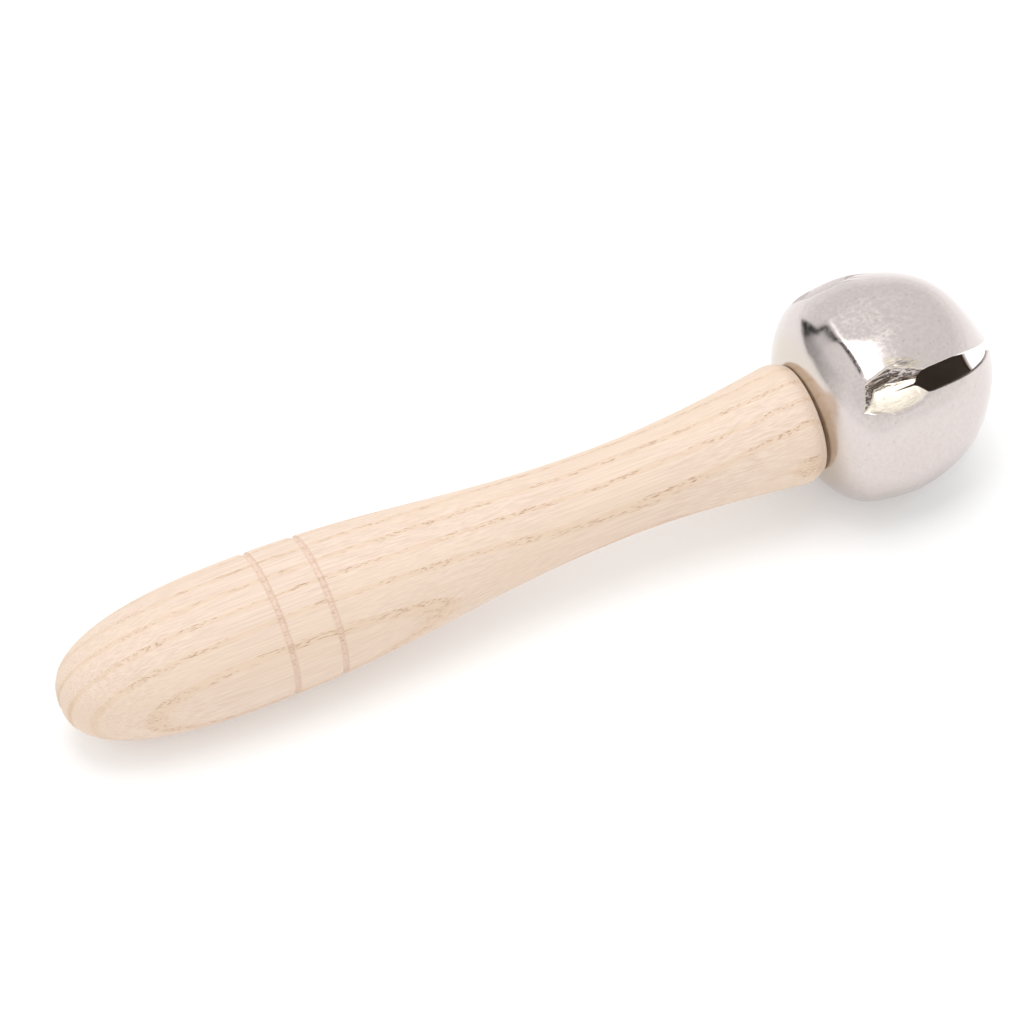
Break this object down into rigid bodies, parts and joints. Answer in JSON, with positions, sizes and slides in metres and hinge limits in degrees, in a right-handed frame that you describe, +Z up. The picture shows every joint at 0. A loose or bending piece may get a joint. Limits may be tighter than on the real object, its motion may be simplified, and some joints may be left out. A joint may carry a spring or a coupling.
{
  "type": "hand bell",
  "caption": "Large four-petal jingle bell screwed to the end of a turned wooden handle, shaken by hand.",
  "frame": {"origin": "middle of the footprint of the bell lying on its side, at the height of the surface it lies on", "axes": "+X from the handle's butt towards the bell, +Z up, +Y to the left seen from the butt"},
  "size_m": [0.1772, 0.0374, 0.0374],
  "materials": {
    "ash_wood": "turned and sanded, left unvarnished, open pores",
    "nickel_plate": "nickel plated sheet steel, softly polished, fine pitting",
    "pellet_steel": "plain steel ball, satin",
    "zinc_steel": "bright zinc plated steel"
  },
  "bodies": {
    "bell_on_handle": {"handle": "ash_wood", "bell_shell": "nickel_plate", "mounting_screw": "zinc_steel", "screw_washer": "zinc_steel"},
    "pellet": {"jingle_pellet": "pellet_steel"}
  },
  "joints": [
    {"name": "pellet_rattle", "type": "slide", "parent": "bell_on_handle", "child": "pellet", "axis": [0, 0, 1], "range_m": [0, 0.0248]}
  ]
}
